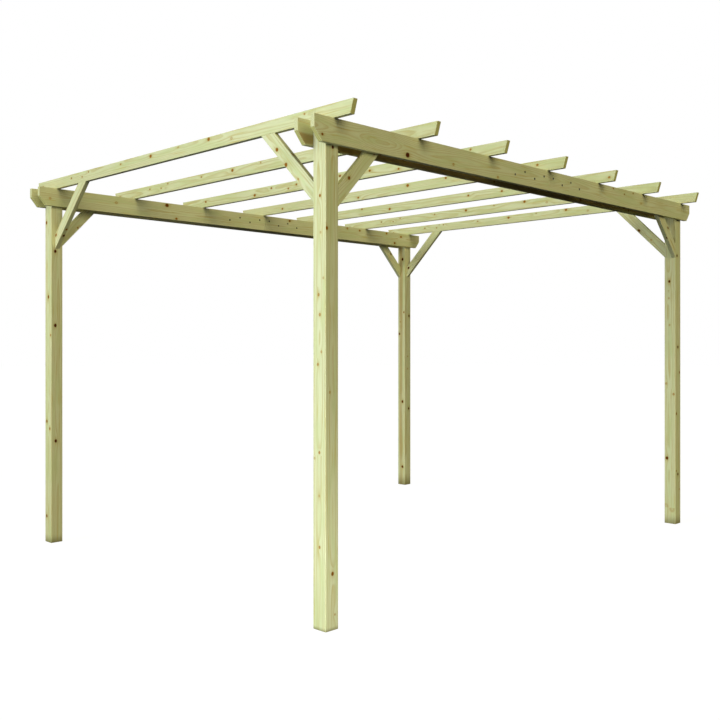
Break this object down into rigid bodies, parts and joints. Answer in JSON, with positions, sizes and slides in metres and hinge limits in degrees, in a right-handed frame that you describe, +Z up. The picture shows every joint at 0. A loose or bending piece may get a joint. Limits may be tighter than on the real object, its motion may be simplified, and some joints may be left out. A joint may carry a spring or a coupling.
{
  "type": "wooden pergola",
  "caption": "Open timber garden frame: square posts, double beams with clipped ends, spliced at the middle, evenly spaced rafters on edge and knee braces at each corner.",
  "frame": {"origin": "on the ground at the middle of the footprint", "axes": "+X along the beams to the right, +Y along the rafters to the back, +Z up"},
  "size_m": [4.42, 3.334, 2.736],
  "materials": {
    "treated_pine": "planed, pale green pressure treatment",
    "screw_steel": "dark phosphated steel, for the screws at the beam joints"
  },
  "bodies": {
    "root": {"front_left_post": "treated_pine", "front_left_beam_brace": "treated_pine", "front_left_rafter_brace": "treated_pine", "front_right_post": "treated_pine", "front_right_beam_brace": "treated_pine", "front_right_rafter_brace": "treated_pine", "back_left_post": "treated_pine", "back_left_beam_brace": "treated_pine", "back_left_rafter_brace": "treated_pine", "back_right_post": "treated_pine", "back_right_beam_brace": "treated_pine", "back_right_rafter_brace": "treated_pine", "front_outer_beam_left": "treated_pine", "front_outer_beam_right": "treated_pine", "front_inner_beam_left": "treated_pine", "front_inner_beam_right": "treated_pine", "back_outer_beam_left": "treated_pine", "back_outer_beam_right": "treated_pine", "back_inner_beam_left": "treated_pine", "back_inner_beam_right": "treated_pine", "front_splice_block": "treated_pine", "back_splice_block": "treated_pine", "rafter_1": "treated_pine", "rafter_2": "treated_pine", "rafter_3": "treated_pine", "rafter_4": "treated_pine", "rafter_5": "treated_pine", "rafter_6": "treated_pine", "rafter_7": "treated_pine"}
  },
  "joints": []
}
